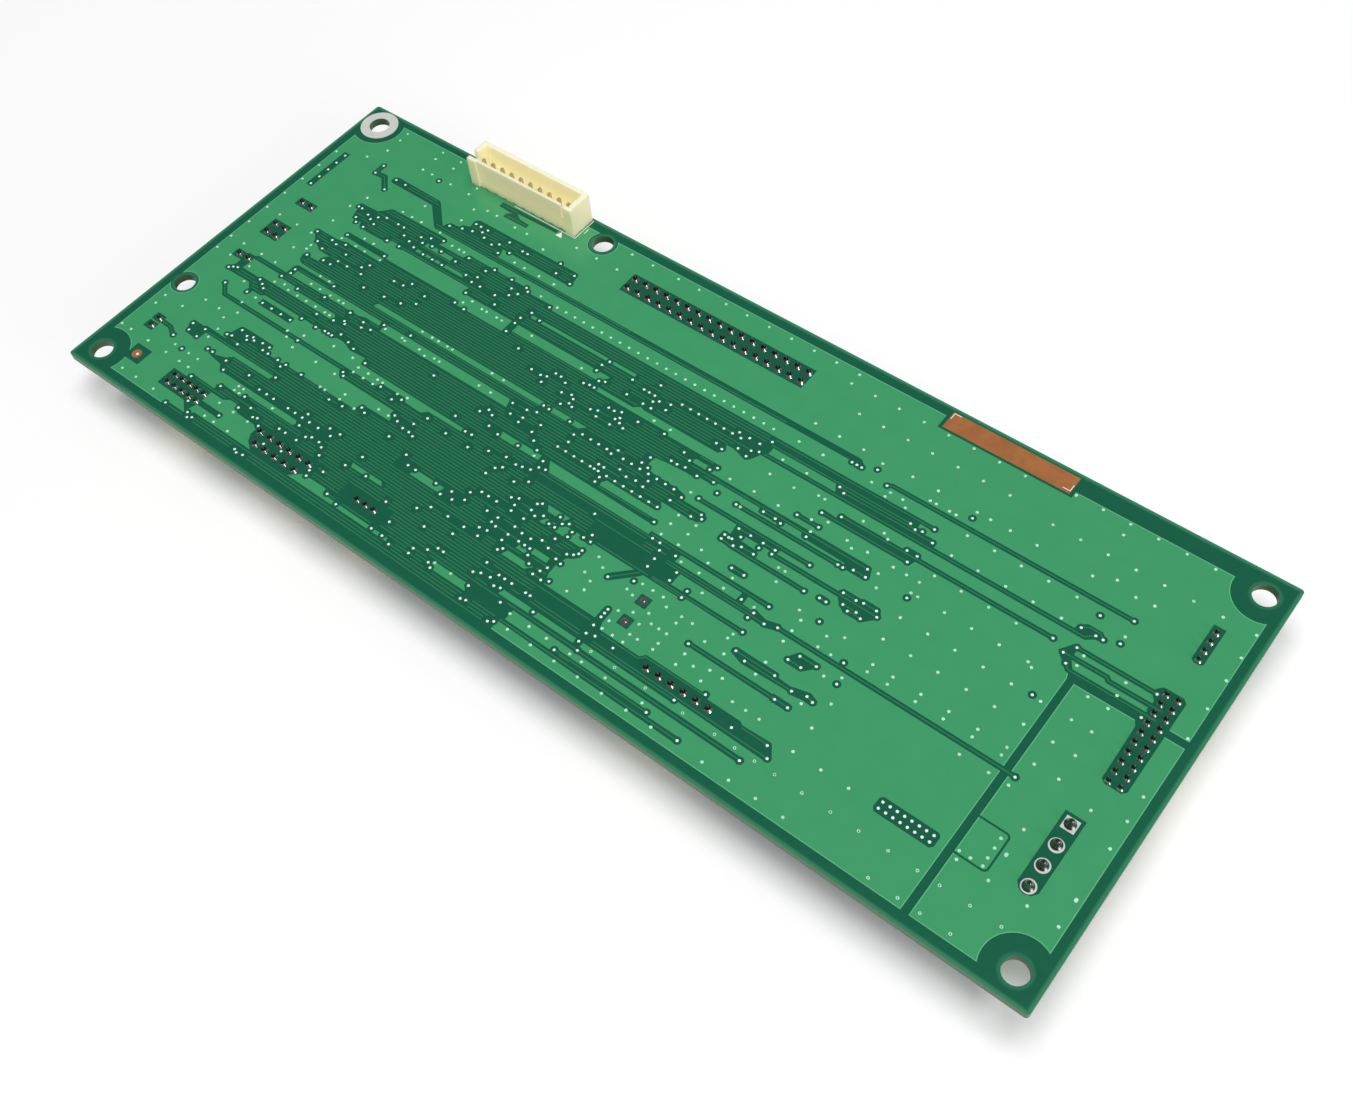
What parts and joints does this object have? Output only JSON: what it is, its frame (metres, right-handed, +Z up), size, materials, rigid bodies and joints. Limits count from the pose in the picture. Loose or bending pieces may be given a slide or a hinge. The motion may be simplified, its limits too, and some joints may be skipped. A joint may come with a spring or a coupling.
{
  "type": "control board",
  "caption": "Rectangular printed control board, solder side up, with a shrouded wafer header on top and box, wafer, power and ribbon connectors, chips and slotted sensors beneath",
  "frame": {"origin": "middle of the board's outline, on the surface that the tallest parts of the component side rest on", "axes": "+X along the long edge towards the power header, +Y towards the long edge with the signal header, +Z up, out of the solder side"},
  "size_m": [0.21, 0.085, 0.0176],
  "materials": {
    "laminate": "green solder mask over glass-epoxy laminate",
    "masked_copper": "thin green solder mask over copper",
    "bare_copper": "bare, slightly dull copper",
    "solder": "bright solder",
    "tinned_pin": "tinned brass",
    "cream_plastic": "moulded, fine matt",
    "grey_plastic": "moulded, fine matt",
    "black_plastic": "moulded, matt",
    "bare_can": "drawn metal",
    "capacitor_ceramic": "fired ceramic body"
  },
  "bodies": {
    "root": {"bare_copper_plate": "bare_copper", "board_laminate": "laminate", "box_header_housing": "grey_plastic", "box_header_joints": "solder", "box_header_pins": "tinned_pin", "bulk_capacitor_base": "black_plastic", "bulk_capacitor_can": "bare_can", "chip_capacitors": "capacitor_ceramic", "chip_resistors": "black_plastic", "controller_chip_body": "black_plastic", "controller_chip_leads": "solder", "copper_target_pad": "bare_copper", "crystal_can": "bare_can", "crystal_joints": "solder", "crystal_leads": "tinned_pin", "driver_chip_body": "black_plastic", "driver_chip_leads": "solder", "four_way_header_housing": "cream_plastic", "four_way_header_joints": "solder", "four_way_header_pins": "tinned_pin", "interface_chip_body": "black_plastic", "interface_chip_leads": "solder", "paired_header_housing": "cream_plastic", "paired_header_joints": "solder", "paired_header_pins": "tinned_pin", "power_header_housing": "cream_plastic", "power_header_joints": "solder", "power_header_pins": "tinned_pin", "regulator_body": "black_plastic", "regulator_metal": "solder", "ribbon_connector_contacts": "tinned_pin", "ribbon_connector_housing": "cream_plastic", "ribbon_connector_joints": "solder", "ribbon_connector_slider": "black_plastic", "signal_header_housing": "cream_plastic", "signal_header_joints": "solder", "signal_header_pins": "tinned_pin", "six_way_header_housing": "cream_plastic", "six_way_header_joints": "solder", "six_way_header_pins": "tinned_pin", "slot_sensor_bodies": "black_plastic", "slot_sensor_joints": "solder", "slot_sensor_leads": "tinned_pin", "solder_side_copper": "masked_copper", "ten_way_header_housing": "cream_plastic", "ten_way_header_joints": "solder", "ten_way_header_pins": "tinned_pin", "three_way_header_housing": "cream_plastic", "three_way_header_joints": "solder", "three_way_header_pins": "tinned_pin", "tinned_mount_land": "solder", "two_way_header_housing": "cream_plastic", "two_way_header_joints": "solder", "two_way_header_pins": "tinned_pin"}
  },
  "joints": []
}
